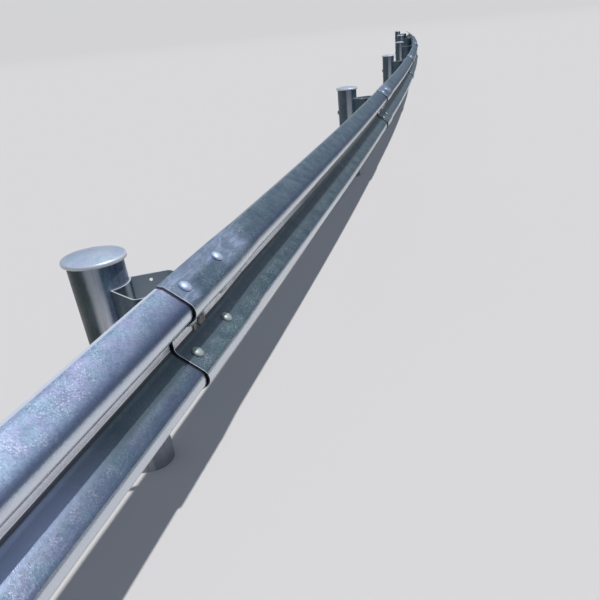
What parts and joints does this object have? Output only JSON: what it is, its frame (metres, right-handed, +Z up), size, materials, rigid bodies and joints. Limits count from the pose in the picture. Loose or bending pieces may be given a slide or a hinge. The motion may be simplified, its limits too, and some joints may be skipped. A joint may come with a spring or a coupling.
{
  "type": "highway guardrail section",
  "caption": "Two wave steel guardrail on round posts with bent plate blockouts, lapped at each post and curving gently away from the road.",
  "frame": {"origin": "centre of the first post where it leaves the ground", "axes": "+X along the rail from the first post, +Y away from the road, the way the row bends, +Z up; the road side faces -Y"},
  "size_m": [24.2948, 1.9142, 0.689],
  "materials": {
    "post": "hot dip galvanised, matt, weathered",
    "post_cap": "hot dip galvanised, matt, weathered",
    "blockout": "hot dip galvanised, matt, weathered",
    "rail_beam": "hot dip galvanised, matt, weathered",
    "rail_washer": "hot dip galvanised, matt, weathered"
  },
  "bodies": {
    "root": {"blockout_1": "blockout", "blockout_2": "blockout", "blockout_3": "blockout", "blockout_4": "blockout", "blockout_5": "blockout", "blockout_6": "blockout", "blockout_7": "blockout", "post_1": "post", "post_2": "post", "post_3": "post", "post_4": "post", "post_5": "post", "post_6": "post", "post_7": "post", "post_cap_1": "post_cap", "post_cap_2": "post_cap", "post_cap_3": "post_cap", "post_cap_4": "post_cap", "post_cap_5": "post_cap", "post_cap_6": "post_cap", "post_cap_7": "post_cap", "rail_beam_1": "rail_beam", "rail_beam_2": "rail_beam", "rail_beam_3": "rail_beam", "rail_beam_4": "rail_beam", "rail_beam_5": "rail_beam", "rail_beam_6": "rail_beam", "rail_washer_1": "rail_washer", "rail_washer_2": "rail_washer", "rail_washer_3": "rail_washer", "rail_washer_4": "rail_washer", "rail_washer_5": "rail_washer", "rail_washer_6": "rail_washer", "rail_washer_7": "rail_washer"}
  },
  "joints": []
}
